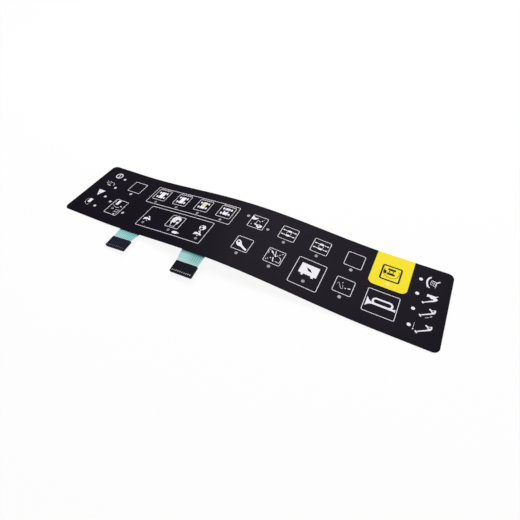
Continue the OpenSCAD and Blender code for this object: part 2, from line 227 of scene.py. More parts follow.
class KeypadSettings(PropertyGroup):
    """All the settings of the keypad"""

    colours: PointerProperty(type=KeypadColours)
    sizes: PointerProperty(type=KeypadSizes)
    stage: PointerProperty(type=KeypadStage)


def settings():
    """The settings of the scene's keypad."""
    return bpy.context.scene.keypad


# Shader expressions


class Value:
    """One shader socket in a Python expression: each operator adds a Math node to its tree."""

    def __init__(self, tree, socket):
        self.tree = tree
        self.socket = socket

    def node(self, kind, options=None, sockets=None, out=0):
        """Adds a node: its options first, then the values or links of its sockets."""
        node = self.tree.nodes.new(kind)
        for name, option in (options or {}).items():
            setattr(node, name, option)
        for key, value in (sockets or {}).items():
            if isinstance(value, Value):
                self.tree.links.new(value.socket, node.inputs[key])
            else:
                node.inputs[key].default_value = value
        return Value(self.tree, node.outputs[out])

    def math(self, operation, *terms):
        return self.node("ShaderNodeMath", {"operation": operation}, dict(enumerate(terms)))

    def __add__(self, other):
        return self.math("ADD", self, other)

    def __sub__(self, other):
        return self.math("SUBTRACT", self, other)

    def __rsub__(self, other):
        return self.math("SUBTRACT", other, self)

    def __mul__(self, other):
        return self.math("MULTIPLY", self, other)

    def __truediv__(self, other):
        return self.math("DIVIDE", self, other)

    __radd__ = __add__
    __rmul__ = __mul__

    def axis(self, name):
        """One axis of a vector."""
        return self.node("ShaderNodeSeparateXYZ", sockets={0: self}, out=name)

    def noise(self, size, detail=2.0):
        """Soft noise from 0 to 1 whose spots are about the given size across."""
        sockets = {"Vector": self, "Scale": 1 / size, "Detail": detail}
        return self.node("ShaderNodeTexNoise", sockets=sockets, out="Fac")

    def stretched(self, x, y, z):
        """The place with each axis scaled, which draws a pattern out."""
        return self.node("ShaderNodeMapping", sockets={"Vector": self, "Scale": (x, y, z)})

    def step(self, low, high):
        """A smooth step from 0 at low to 1 at high."""
        sockets = {"Value": self, "From Min": low, "From Max": high}
        return self.node("ShaderNodeMapRange", {"interpolation_type": "SMOOTHSTEP"}, sockets)

    def mix(self, first, second):
        """A colour between two others, with this value as the share of the second."""
        return self.node("ShaderNodeMix", {"data_type": "RGBA"}, {0: self, 6: first, 7: second}, 2)

    def tone(self, colour, low, high):
        """A colour that varies between two shares of itself."""
        return self.mix(shade(colour, low), shade(colour, high))

    def bump(self, height, strength):
        """A normal for a relief of the given height."""
        sockets = {"Height": self, "Distance": height, "Strength": strength}
        return self.node("ShaderNodeBump", sockets=sockets, out="Normal")


def shade(colour, share):
    """A colour made darker or lighter by a share of itself."""
    return [min(part * share, 1.0) for part in tuple(colour)[:3]] + [1.0]


def finish(name, paint, **constants):
    """A material: paint gives its colour, roughness, normal and perhaps alpha, which vary over the surface.

    The constants go on the shader's own sockets."""
    material = bpy.data.materials.new(name)
    material.use_nodes = True
    tree = material.node_tree
    shader = tree.nodes["Principled BSDF"]
    place = Value(tree, tree.nodes.new("ShaderNodeTexCoord").outputs["Object"])
    for socket, value in zip(("Base Color", "Roughness", "Normal", "Alpha"), paint(place)):
        tree.links.new(value.socket, shader.inputs[socket])
    for socket, value in constants.items():
        shader.inputs[socket.replace("_", " ")].default_value = value
    return material


# Finishes


def film_finish():
    """Matt hard-coated film: an even black with faint clouding, under a fine velvet grain."""
    black = settings().colours.film_black

    def paint(place):
        grain = place.noise(0.16 * MM, 1)
        cloud = place.noise(9 * MM, 3)
        roughness = 0.38 + 0.08 * cloud + 0.08 * grain
        relief = (grain + 0.5 * place.noise(0.5 * MM)).bump(0.008 * MM, 0.6)
        return cloud.tone(black, 0.86, 1.14), roughness, relief

    return finish("matt black film", paint, Specular_IOR_Level=0.043)


def ink_finish(name, colour, fade=None):
    """Screen-printed ink: a flat colour with faint clouding and the fine relief of the screen's mesh.

    A fade gives the Y, in millimetres, where the ink starts and ends to turn into another colour."""

    def paint(place):
        cloud = place.noise(2.5 * MM, 3)
        mesh = place.noise(0.12 * MM, 1)
        tint = cloud.tone(colour, 0.96, 1.03)
        if fade:
            low, high, other = fade
            tint = (place.axis("Y") / MM).step(low, high).mix(tint, tuple(other))
        roughness = 0.5 + 0.1 * cloud
        relief = mesh.bump(0.006 * MM, 0.5)
        return tint, roughness, relief

    return finish(name, paint, Specular_IOR_Level=0.1)


def window_finish(name, colour, fades):
    """Translucent window ink: smoother than the film and uneven in depth.

    Each fade gives a place on the panel, in millimetres as low and high X and Y, and its colour."""

    def paint(place):
        depth = place.noise(1.1 * MM, 2)
        x, y = place.axis("X") / MM, place.axis("Y") / MM
        tint = depth.tone(colour, 0.94, 1.05)
        for (low_x, high_x, low_y, high_y), other in fades:
            inside = x.step(low_x - 1, low_x) * (1 - x.step(high_x, high_x + 1))
            inside = inside * y.step(low_y - 1, low_y) * (1 - y.step(high_y, high_y + 1))
            tint = inside.mix(tint, depth.tone(other, 0.94, 1.05))
        roughness = 0.3 + 0.15 * depth
        relief = place.noise(0.2 * MM, 1).bump(0.004 * MM, 0.4)
        return tint, roughness, relief

    return finish(name, paint, Specular_IOR_Level=0.2, Coat_Weight=0.1, Coat_Roughness=0.2)


def tail_finish(tail, place):
    """Circuit tail: silver traces under a teal coat, thin close to the plug, beside a clear margin.

    The stripes follow the distance from the tail's middle as a share of its width there, one per way.
    Painted shade darkens the coat near its root, where the panel shades it, and painted glare pales its
    left half and its plug end."""
    colours = settings().colours
    half = settings().sizes.trace_w / PITCH / 2
    root = PANEL_Y - PANEL_W / 2

    def paint(spot):
        y = spot.axis("Y")
        spread = spot.math("MAXIMUM", (y - place.y) / (root - place.y), 0.0)
        width = spread * (TAIL_ROOT_W / TAIL_W - 1) + 1
        across = (spot.axis("X") - place.x - tail.skew * spread) / PITCH / width
        wave = across.math("FRACT", across + (WAYS / 2 + 8))
        off = wave.math("ABSOLUTE", wave - 0.5)
        # Painted glare: the left half of the coat is paler and its stripes fainter, as where light glances
        # off it
        left_glare = tail.paler * (1 - across.step(-3.5, 2))
        trace = 1 - off.step(half - 0.06, half + 0.06) * (1 - 0.7 * left_glare)
        edge = across.math("ABSOLUTE", across).step(WAYS / 2 - 0.2, WAYS / 2)
        clear = across.step(-WAYS / 2 - 0.15, -WAYS / 2 - 0.35)
        bare = 1 - y.step(place.y + 0.9 * MM, place.y + 1.9 * MM)
        cloud = spot.stretched(1, 0.25, 1).noise(1.2 * MM, 3)
        # Painted shadow: the coat darkens towards its root, where the panel shades the tail
        root_shadow = y.step(root - tail.shade_run, root - 0.5 * MM)
        # Painted light: the coat pales towards the plug end, the more on the tail with more glare
        plug_end_light = 0.5 * tail.paler**2 * (1 - y.step(place.y + 1 * MM, root - 2 * MM))
        coat = trace.mix(colours.coat_teal, colours.trace_pale)
        coat = (0.3 * cloud).mix(coat, shade(colours.coat_teal, 1.4))
        coat = left_glare.mix(coat, COAT_GLARE)
        coat = (0.8 * bare).mix(coat, trace.mix(BARE_FILM, BARE_TRACE))
        coat = edge.mix(coat, COAT_EDGE)
        coat = plug_end_light.mix(coat, COAT_PLUG_LIGHT)
        coat = (tail.root_shade * root_shadow).mix(coat, shade(colours.coat_teal, 0.5))
        roughness = 0.32 + 0.12 * cloud
        relief = spot.noise(0.3 * MM, 2).bump(0.005 * MM, 0.4)
        return clear.mix(coat, CLEAR_MARGIN), roughness, relief, 1 - 0.5 * clear

    return finish(f"{tail.side} coated tail", paint, Specular_IOR_Level=0.25)


def sheet_finish(name, colour, fibre, rough, **constants):
    """A plain sheet, such as paper, glue or clear film: drawn-out fibres over soft clouds."""

    def paint(place):
        fibres = place.stretched(0.25, 1, 1).noise(fibre, 4)
        cloud = place.noise(14 * MM, 3)
        grain = 0.6 * fibres + 0.4 * cloud
        roughness = rough + 0.15 * fibres
        relief = fibres.bump(0.01 * MM, 0.5)
        return grain.tone(colour, 0.88, 1.08), roughness, relief

    return finish(name, paint, **constants)


def moulded_finish(name, colour):
    """Moulded plastic: a fine spark-eroded grain, a little glossier where it is worn smooth."""

    def paint(place):
        grain = place.noise(0.12 * MM, 2)
        cloud = place.noise(4 * MM, 2)
        roughness = 0.38 + 0.14 * cloud + 0.06 * grain
        relief = grain.bump(0.01 * MM, 0.7)
        return cloud.tone(colour, 0.85, 1.2), roughness, relief

    return finish(name, paint, Specular_IOR_Level=0.1)


def metal_finish(name, colour, brush, metallic):
    """Rolled metal: fine drawn lines in its colour and gloss."""

    def paint(place):
        lines = place.stretched(1, brush, 1).noise(0.25 * MM, 3)
        roughness = 0.38 + 0.16 * lines
        relief = lines.bump(0.003 * MM, 0.4)
        return lines.tone(colour, 0.85, 1.1), roughness, relief

    return finish(name, paint, Metallic=metallic)


def lamp_finish():
    """Chip lamp: pale moulded resin with fine specks under a clear coat."""

    def paint(place):
        speck = place.noise(0.3 * MM, 2)
        roughness = 0.3 + 0.2 * speck
        relief = speck.bump(0.004 * MM, 0.4)
        return speck.mix(RESIN_DULL, RESIN_CLEAR), roughness, relief

    return finish("lamp resin", paint, Coat_Weight=0.4)


# Surfaces


def lift(x):
    """Height of the ripple: one period of a cosine, from foot over crest to foot."""
    wave = RIPPLE_H * (1 + np.cos(np.pi * x / RIPPLE_HALF)) / 2
    return np.where(np.abs(x) < RIPPLE_HALF, wave, 0.0)


class Shell:
    """Grids of points that are gathered into one mesh, where edges that meet are merged."""

    def __init__(self):
        self.points = []
        self.faces = []
        self.count = 0

    def grid(self, points):
        """Adds the quads of a grid of points."""
        rows, columns = points.shape[:2]
        index = self.count + np.arange(rows * columns).reshape(rows, columns)
        corners = [index[:-1, :-1], index[1:, :-1], index[1:, 1:], index[:-1, 1:]]
        self.points.append(points.reshape(-1, 3))
        self.faces.append(np.stack(corners, -1).reshape(-1, 4))
        self.count += rows * columns

    def slab(self, top, below, closed=False):
        """A closed slab between two like grids, joined round their edges; a closed one is a ring."""
        self.grid(top)
        self.grid(below)
        for column in (0, -1):
            self.grid(np.stack([top[:, column], below[:, column]], 1))
        if not closed:
            for row in (0, -1):
                self.grid(np.stack([top[row], below[row]]))

    def piece(self, name, material, slot=None, replaced=()):
        """Makes the piece: merges shared points, turns faces outwards and lets it ride on the keypad."""
        if not self.points:
            raise RuntimeError(f"{name} has no surface")
        mesh = bpy.data.meshes.new(name)
        mesh.from_pydata(np.concatenate(self.points), [], np.concatenate(self.faces).tolist())
        form = bmesh.new()
        form.from_mesh(mesh)
        bmesh.ops.remove_doubles(form, verts=form.verts, dist=MERGE)
        bmesh.ops.dissolve_degenerate(form, edges=form.edges, dist=MERGE)
        bmesh.ops.recalc_face_normals(form, faces=form.faces)
        form.to_mesh(mesh)
        form.free()
        mesh.materials.append(material)
        mesh.shade_smooth()
        mesh.set_sharp_from_angle(angle=SHARP_ANGLE)
        piece = bpy.data.objects.new(name, mesh)
        bpy.context.scene.collection.objects.link(piece)
        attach(piece, BODY)
        if replaced:
            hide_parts(*replaced)


def film_plan(inset):
    """Plan of a film as a grid: a rectangle with round corners, drawn in by an inset.

    A row of the grid crosses the panel at one station; the stations turn round each corner's circle."""
    turn = np.linspace(0, np.pi / 2, CORNER_STEPS + 1)
    straight = PANEL_L / 2 - CORNER_R
    corner_x = straight + (CORNER_R - inset) * np.sin(turn)
    corner_w = PANEL_W / 2 - CORNER_R + (CORNER_R - inset) * np.cos(turn)
    middle = np.linspace(-straight, straight, SIDE_STEPS + 1)[1:-1]
    x = np.concatenate([-corner_x[::-1], middle, corner_x])
    half = np.concatenate([corner_w[::-1], np.full(len(middle), PANEL_W / 2 - inset), corner_w])
    across = np.linspace(-1, 1, ACROSS_STEPS + 1)
    return np.stack([np.tile(x[:, None], len(across)), half[:, None] * across], -1)


def film_at(plan, z):
    """Carries a plan up onto the ripple at a height."""
    x, y = plan[..., 0], plan[..., 1]
    return np.stack([x, PANEL_Y + y, lift(x) + z], -1)


def plan_rim(plan):
    """The closed outer line of a plan's grid."""
    return np.concatenate([plan[:-1, -1], plan[-1, :0:-1], plan[:0:-1, 0], plan[0, :-1], plan[:1, -1]])


def film_shell(z, thickness, inset):
    """A film of the laminate: its two faces, and a rim whose edges are rounded by quarter circles."""
    r = settings().sizes.edge_round
    turn = np.linspace(0, np.pi / 2, EDGE_STEPS + 1)
    drawn = r * (1 - np.sin(turn))
    drop = r * (1 - np.cos(turn))
    insets = inset + np.concatenate([drawn, drawn[::-1]])
    heights = z + np.concatenate([thickness - drop, drop[::-1]])
    shell = Shell()
    face = film_plan(inset + r)
    shell.grid(film_at(face, z + thickness))
    shell.grid(film_at(face, z))
    rings = [film_at(plan_rim(film_plan(i)), h) for i, h in zip(insets, heights)]
    shell.grid(np.stack(rings))
    return shell


def plug_pose(plug, dip):
    """Where a tail enters its plug, from the middle of the plug's box: a point, and the plug's lean."""
    low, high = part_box(plug)
    x, y, z = (low + high) / 2
    slope = float(lift(x + TAIL_W / 2) - lift(x - TAIL_W / 2)) / TAIL_W
    tilt = math.atan(slope) + math.radians(TAIL_TWIST)
    back = PLUG_L / 2 * math.sin(dip)
    place = (x - back * math.sin(tilt), y + PLUG_L / 2 * math.cos(dip), z + back * math.cos(tilt))
    return Vector(place), tilt


def tail_shell(tail):
    """A tail: a thin slab over a grid of its plan, with the traces' low ribs on its upper face.

    It leaves the circuit film along the ripple, narrows evenly, eases over to the plug's leaning plane by
    a cubic blend, bends down to the plug's dip, and is flat inside the plug. A clear margin widens along
    its left side and ends in a shoulder behind the plug."""
    sizes = settings().sizes
    dip = math.radians(tail.dip)
    place, tilt = plug_pose(f"{tail.side}_plug_housing", dip)
    root = PANEL_Y - PANEL_W / 2 + OVERHANG
    run = root - place.y
    lean = math.tan(tilt)
    dip_run = math.tan(dip) / math.cos(tilt)
    free = np.linspace(root + OVERHANG, place.y + SHOULDER, TAIL_ROWS)
    held = np.linspace(place.y, place.y - TAIL_IN * math.cos(dip), HELD_ROWS)
    along = np.concatenate([free, held])[:, None]
    s = np.clip((root - along) / run, 0, 1)
    width = TAIL_ROOT_W + (TAIL_W - TAIL_ROOT_W) * s
    margin = np.where(along > place.y, TAIL_MARGIN * s, 0.0)
    middle = place.x + tail.skew * (1 - s)
    x = middle + width / 2 - (width + margin) * np.linspace(1, 0, TAIL_COLUMNS)
    y = np.broadcast_to(along, x.shape)
    ease = 3 * s**2 - 2 * s**3
    plane = place.z + lean * (x - place.x)
    hung = (1 - ease) * (lift(x) + CIRCUIT_Z - CIRCUIT_T / 2) + ease * plane + dip_run * run * (s**2 - s**3)
    z = np.where(y > place.y, hung, plane + dip_run * (y - place.y))
    way = (x - middle) / width * TAIL_W / PITCH
    nearest = np.clip(np.floor(way), -WAYS // 2, WAYS // 2 - 1) + 0.5
    off = np.abs(way - nearest) * 2 * PITCH / sizes.trace_w
    rib = sizes.rib_h * np.sqrt(np.clip(1 - off**4, 0, 1))
    shown = np.clip((root - along) / RIB_FADE, 0, 1) * np.clip((along - place.y) / RIB_FADE, 0, 1)
    top = z + TAIL_T / 2 + shown * rib
    shell = Shell()
    shell.slab(np.stack([x, y, top], -1), np.stack([x, y, z - TAIL_T / 2], -1))
    return shell, place


# Print


def smooth_path(points, closed):
    """A curve through points: a cubic between each two, whose slope follows the points beside them."""
    p = np.asarray(points, float)
    ends = (p[-1:], p[:2]) if closed else (2 * p[:1] - p[1:2], 2 * p[-1:] - p[-2:-1])
    q = np.concatenate([ends[0], p, ends[1]])
    spans = len(p) if closed else len(p) - 1
    a, b, c, d = (q[k:k + spans, None] for k in range(4))
    t = np.linspace(0, 1, CURVE_STEPS, endpoint=False)[None, :, None]
    curve = b + (c - a) * t / 2 + (2 * a - 5 * b + 4 * c - d) * t**2 / 2 + (3 * (b - c) + d - a) * t**3 / 2
    return np.concatenate([curve.reshape(-1, p.shape[1]), p[:1] if closed else p[-1:]])


def refine(grid, step):
    """Adds points along both ways of a grid, so that no cell is longer than the step."""
    for axis in (0, 1):
        spans = np.linalg.norm(np.diff(grid, axis=axis), axis=-1).max(axis=1 - axis)
        counts = np.maximum(np.ceil(spans / step), 1).astype(int)
        place = np.concatenate([k + np.arange(n) / n for k, n in enumerate(counts)] + [[len(counts)]])
        low = np.minimum(place.astype(int), len(counts) - 1)
        share = (place - low).reshape((-1, 1, 1) if axis == 0 else (1, -1, 1))
        grid = np.take(grid, low, axis) * (1 - share) + np.take(grid, low + 1, axis) * share
    return grid


class Drawing(Shell):
    """Ink on the film, drawn in millimetres from a place on the panel. Each mark is a thin closed slab."""

    def __init__(self, marks=0):
        super().__init__()
        self.marks = marks
        self.place = np.zeros(2)

    def at(self, box, x, y):
        """Moves the drawing's origin to an offset from the middle of a box seen from above."""
        self.place = np.array((box[0] + box[1])[:2]) / 2 / MM + (x, y)
        return self

    def key(self, number, x=0.0, y=0.0):
        """Moves the drawing's origin to a key, which lies over its snap dome."""
        return self.at(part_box(f"snap_dome_{number:02d}"), x, y)

    def lamp(self, number, x=0.0, y=0.0):
        """Moves the drawing's origin to a window, which lies over its lamp."""
        return self.at(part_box(f"indicator_lamp_{number:02d}"), x, y)

    def lay(self, grid, closed=False):
        """Lays a plane grid on the film as a slab of ink."""
        sizes = settings().sizes
        plane = (refine(np.asarray(grid, float), PRINT_STEP) + self.place) * MM
        x, y = plane[..., 0], plane[..., 1]
        self.marks += 1
        base = lift(x) + INK_Z
        top = base + INK_T + self.marks * sizes.ink_step
        self.slab(np.stack([x, y, top], -1), np.stack([x, y, base - sizes.ink_sink], -1), closed)

    def stroke(self, width, *points, curved=False, closed=False):
        """A ribbon along a path: each point moves to both sides along the mitred normal by half the width."""
        p = np.asarray(points, float)
        w = np.broadcast_to(np.asarray(width, float), len(p))
        path = np.column_stack([p, w])
        if curved:
            path = smooth_path(path, closed)
        elif closed:
            path = np.concatenate([path, path[:1]])
        p, w = path[:, :2], path[:, 2]
        run = np.diff(p, axis=0)
        run = run / np.linalg.norm(run, axis=1)[:, None]
        before = np.concatenate([run[-1:] if closed else run[:1], run])
        after = np.concatenate([run, run[:1] if closed else run[-1:]])
        normal = np.stack([-(before + after)[:, 1], (before + after)[:, 0]], 1)
        normal = normal / np.maximum(1 + (before * after).sum(1), 0.3)[:, None]
        side = normal * w[:, None] / 2
        self.lay(np.stack([p + side, p - side], 1), closed)

    def arc(self, width, x, y, r, start=0.0, end=360.0, squash=1.0):
        """A ribbon along a circle or ellipse from one angle to another."""
        whole = abs(end - start) >= 360
        steps = 2 * ARC_STEPS if whole else ARC_STEPS
        turn = np.radians(np.linspace(start, end, steps + 1))[:-1 if whole else None]
        points = np.stack([x + r * np.cos(turn), y + squash * r * np.sin(turn)], 1)
        self.stroke(width, *points, closed=whole)

    def disc(self, x, y, rx, ry=None):
        """A filled circle or ellipse: rays from its middle to its rim."""
        turn = np.linspace(0, 2 * np.pi, DISC_STEPS + 1)
        rim = np.stack([x + rx * np.cos(turn), y + (ry or rx) * np.sin(turn)], 1)
        self.lay(np.stack([rim, np.full_like(rim, (x, y))], 1), True)

    def patch(self, *rows, curved=False):
        """A filled shape ruled between rows of points, which may be drawn as curves."""
        self.lay(np.stack([smooth_path(row, False) if curved else np.asarray(row, float) for row in rows]))

    def dashes(self, width, start, end, count):
        """A dashed line of even dashes and gaps."""
        ends = np.linspace(start, end, 2 * count)
        for k in range(count):
            self.stroke(width, ends[2 * k], ends[2 * k + 1])

    def bar(self, x0, y0, x1, y1):
        """A filled rectangle between two corners."""
        self.patch([(x0, y0), (x1, y0)], [(x0, y1), (x1, y1)])

    def block(self, x, y, w, h, turn=0.0):
        """A filled rectangle about its middle, turned by an angle."""
        c, s = math.cos(math.radians(turn)), math.sin(math.radians(turn))
        corner = [[(-w / 2, -h / 2), (w / 2, -h / 2)], [(-w / 2, h / 2), (w / 2, h / 2)]]
        self.lay(np.asarray(corner) @ np.array([[c, s], [-s, c]]) + (x, y))


def ring_mark(ink):
    """A ring with a bar across it."""
    ink.arc(1.25, 0, 0, 4.4)
    ink.stroke(0.9, (-0.6, 3.9), (1, -3.8))


def engine_mark(ink):
    """An engine in thin outline: its block and sump, a fan before it and a bell housing behind it."""
    ink.stroke(0.3, (-1.8, -3), (-3.4, -1.6), (-3.4, 2.4), (0.4, 2.8), (3.4, 2.6))
    ink.stroke(0.9, (-1.9, -3.1), (2.9, -3.3))
    ink.stroke(0.3, (0, 2.6), (0, -2.7))
    ink.stroke(0.4, (-2.2, 4.2), (0.2, 2.9))
    ink.stroke(0.5, (3.6, 2.9), (6, 1.1), (6.7, -2.1), curved=True)
    ink.stroke(0.5, (-7.2, 3.7), (-5, 2.2))
    ink.stroke(0.4, (-6.5, 0.5), (-3.6, -0.8))


def can_mark(ink):
    """A fuel can: a solid body, with a hose and a thin foot behind it."""
    ink.bar(-2.1, -2.1, 2.3, 4.7)
    ink.stroke(0.3, (-2.2, 3.9), (-4.5, 3.3), (-5.1, 2), (-5, -2.7), curved=True)
    ink.stroke(0.7, (-5, -2.8), (-3.4, -4.4))
    ink.stroke(0.3, (-3.4, -4.4), (-0.6, -6.4), (2.3, -6.7), (2.5, -3.2))


def lever_sign(ink):
    """A hand lever on a curved saddle, with a knob, a foot and a ladder frame beside it."""
    ink.key(LEVER)
    ink.bar(-4.9, 3.9, -1.3, 11.8)
    ink.stroke(0.4, (-8, 10.4), (-7.7, 5.6))
    ink.stroke((0.25, 0.3, 0.6, 0.6), (-8.2, 3), (-4.8, 1.1), (-0.6, -0.3), (3.3, 0.5), curved=True)
    ink.disc(4.8, 3, 1.3, 0.7)
    ink.arc(0.4, -3.1, -3.5, 1.5, squash=0.5)
    for x in (2.7, 7):
        ink.stroke(0.3, (x, -2.5), (x, -9.6))
    for y in (-3.6, -7.2):
        ink.stroke(0.3, (3, y), (6.7, y))
    ink.disc(5.4, -11.3, 1.4, 0.7)


def chassis_mark(ink, front, rear):
    """A vehicle's chassis from above: body, two axles and four wheels turned by the steering angles."""
    ink.bar(-3, -5.7, 3, 5.7)
    for y, turn in ((4, front), (-3.9, rear)):
        for side in (-1, 1):
            ink.bar(side * 3, y - 0.4, side * 4.6, y + 0.4)
            ink.block(side * 5.4, y, 1.8, 3.3, turn)


def gauge_mark(ink):
    """A round gauge on a neck that narrows to its foot."""
    ink.disc(-0.6, 3.6, 5.9, 5.1)
    ink.stroke((2.6, 1.3, 0.5, 0.5), (-5.4, 0.4), (-4.1, -3), (-3.5, -5), (-3.2, -8))
    ink.stroke((2.6, 1.5, 0.6, 0.7), (4.3, 0.6), (3.2, -2.6), (2.8, -4.6), (2.7, -8))
    ink.stroke(0.45, (-3, -7.2), (2.6, -7.2))


def hare_mark(ink):
    """A leaping hare, the common sign for fast."""
    ink.disc(-2.4, -0.1, 2.5, 1.7)
    ink.stroke((1.6, 0.8), (-3.9, -1), (-4.7, -2.7))
    ink.stroke((1.6, 2.2, 2, 1), (-0.8, 0.3), (1.4, 0), (3.2, -0.7), (4.9, -1.1), curved=True)
    ink.stroke((0.5, 0.9, 1.1, 1.4), (-1.8, 3.1), (-0.3, 3.8), (1.2, 2.8), (2.3, 0.5), curved=True)
    ink.stroke((0.5, 1.2), (0.2, -2.4), (1.6, -3.6))


def tortoise_mark(ink):
    """A tortoise, the common sign for slow."""
    ink.disc(-0.4, 0, 4, 1.8)
    ink.stroke((1.4, 0.6), (3, 0.2), (5.2, 0))
    for x in (-2.4, 1.2):
        ink.stroke(0.9, (x, -1.2), (x - 0.4, -2.3))


def claws_mark(ink):
    """Two claws that work towards each other, with arrows for their way."""
    ink.patch([(-9.2, 8.1), (-5.8, 5.3), (-1.8, 6.5)], [(-9, 2.2), (-6.5, 2.1), (-4, 2.7)])
    ink.stroke(0.5, (-2.3, 3.3), (0.2, 2.7), (2.6, 0.9), curved=True)
    ink.stroke(0.5, (-1.3, 1.9), (-1.4, -0.6), (-1.8, -2.4), curved=True)
    ink.disc(3.9, -5.1, 3.3, 2.4)
    ink.disc(-1.7, -3.6, 1.1, 0.9)
    ink.stroke((0.8, 2.2), (-1.6, -3.7), (1.6, -4.6))
    ink.stroke((2.2, 0.7), (6, -4.7), (7.2, -3.6))
    ink.stroke((2.4, 0.6), (3.6, -6.8), (3.4, -8.4))
    ink.disc(3.9, 3.7, 0.75)
    ink.disc(5.3, 6, 0.4)
    ink.disc(-6, -5, 0.55)


def rails_mark(ink):
    """A wheel's hub between two dashed rails."""
    for y in (3.2, -3.2):
        for side in (-1, 1):
            ink.stroke(1.3, (side * 5.5, y), (side * 8, y))
            ink.stroke(1, (side * 3.2, y), (side * 4.7, y))
            ink.stroke(0.4, (side * 2.4, y), (side * 5.6, y))
        ink.stroke((1.6, 2.6, 1.6), (-2.5, y), (0, y * 1.03), (2.5, y), curved=True)
    for side in (0, 180):
        ink.arc(0.35, 0, 0, 2.5, side - 46, side + 46)


def starter_sign(ink):
    """A starter key: a broad head and a tapering shank."""
    ink.key(STARTER)
    ink.patch(
        [(-7.4, 3.2), (-6.2, 4.2), (-4.2, 3.9), (-2, 1.9), (-0.2, -0.7), (3.6, -3.3), (7.2, -5.1), (7.9, -6)],
        [(-7.6, 1.6), (-7.5, -0.4), (-6, -2.6), (-3.6, -4), (-0.6, -4.3), (2.6, -5.5), (6, -7.1), (7.6, -7)],
        curved=True)


def fan_mark(ink):
    """Rays that fan out over a curved bowl."""
    ink.stroke((0.5, 1.8, 0.6, 0.6), (-6.1, 6.7), (-4.4, 4.9), (-2.6, 3.1), (0.3, 0.8))
    ink.stroke(0.8, (-1.3, 7.6), (0.6, 0.8))
    ink.disc(1, 0.7, 0.9, 0.6)
    ink.dashes(0.7, (7, 7.2), (1.8, 1.6), 3)
    ink.stroke(0.4, (-8.6, 7.6), (-6.9, 6.3))
    ink.stroke(0.4, (-8.6, 5), (-7.4, 1.4))
    ink.stroke(0.55, (4.2, 1.5), (6.9, 0.2), (7.9, -2.6), (7.4, -5.6), (2.8, -5.5), curved=True)
    ink.stroke(1, (-0.8, -1.1), (-0.1, -4.4), (1.1, -6.6))
    ink.disc(-3.2, -3, 0.65)
    ink.disc(-5.5, -5.1, 0.55)
    ink.disc(-7, -6.5, 0.6)


def generator_sign(ink):
    """A generator: a solid box on two feet."""
    ink.key(GENERATOR)
    ink.bar(-9.65, -1.75, 9.8, 11.45)
    ink.bar(-6.25, -3.8, -4.1, -1.75)
    ink.bar(4.35, -3.8, 7.1, -1.75)


def wave_mark(ink):
    """A thin wave with two small arrow heads after it."""
    path = ((-7, -0.6), (-5.5, 2.5), (-3.8, -1), (-1.7, -3.9), (-0.4, -2.4), (-1.4, 1.2))
    ink.stroke((0.15, 0.28, 0.32, 0.32, 0.24, 0.18), *path, curved=True)
    ink.disc(-2, 3.5, 0.5)
    ink.disc(2.2, -2, 0.85, 0.55)
    ink.stroke((0.3, 1.5, 0.3), (4.3, -1.4), (5.9, -0.8), (7.2, -0.6))


def horn_sign(ink):
    """A horn: a flared bell, a straight tube with its mouthpiece, and a long loop over the tube."""
    ink.key(HORN)
    ink.patch([(-13.7, 3.7), (-11.5, 0.5), (-9.2, -1.2), (-7, -1.5)],
              [(-13.7, -8), (-11.8, -5.6), (-9.4, -4), (-7, -3.6)], curved=True)
    ink.bar(-7, -3.6, 13.5, -1.5)
    ink.bar(13.5, -4, 14.3, -1.1)
    turn = np.radians(np.linspace(90, 270, ARC_STEPS // 2 + 1))
    left = np.stack([-4.7 + 3.2 * np.cos(turn), 1 + 3.2 * np.sin(turn)], 1)
    right = np.stack([7.6 - 3.2 * np.cos(turn), 1 - 3.2 * np.sin(turn)], 1)
    ink.stroke(1.9, *left, *right, closed=True)


def swing_mark(ink):
    """A swing arc with an arrow head at each end, round a hatched work basket and its arms."""
    ink.stroke(1.6, (8.3, 6), (6.7, 3.4), (6, -0.4), (6.6, -3.8), (7.6, -6), curved=True)
    ink.patch([(6.7, 5.5), (9, 4.7)], [(9.3, 7.3), (9.3, 7.3)])
    ink.patch([(6.2, -5), (6.5, -6.9), (9.6, -7.9)], [(8, -4.9), (8.2, -6), (9.6, -6.9)])
    ink.stroke(0.6, (10.2, 2.7), (15, 1.7), (13.9, -3.8))
    ink.stroke(0.35, (10.1, 2.5), (9.3, -2.6), (13.6, -4.1))
    for share in (0.35, 0.7):
        ink.stroke(0.25, (10.1 + 4.5 * share, 2.4 - share), (9.3 + 4.4 * share, -2.6 - 1.4 * share))
    ink.stroke(0.25, (9.8, 0.2), (14.4, -0.9))
    ink.stroke((1, 1.3), (14.7, 0.9), (17.8, 3.8))
    ink.stroke(0.35, (15.3, -0.6), (14.4, -5.9))


def raised_boom(ink):
    """A boom whose thick upper arm reaches back level over its elbow, on a slim lower arm."""
    ink.patch([(9, 3.2), (12.5, 3.3), (16, 3.2), (18.6, 3.3)],
              [(8.9, -0.2), (11.2, 0.7), (13.2, -1.2), (15.2, -0.6)])
    ink.stroke((0.9, 0.4), (17.6, 3.2), (19.1, 4.3))
    ink.patch([(16, 3), (17.1, 1.7), (19.3, 0), (18, -2), (16.2, -3.2)],
              [(13.9, -0.4), (14.6, -0.7), (15.4, -1.3), (15.7, -1.9), (15.4, -2.8)])
    ink.stroke((1.7, 1.2, 0.9), (16, -2.6), (11, -5.7), (7.8, -7.9))
    ink.stroke((1.4, 1.9, 0.8), (6.2, -7.4), (6.9, -8.3), (7.2, -9.5))


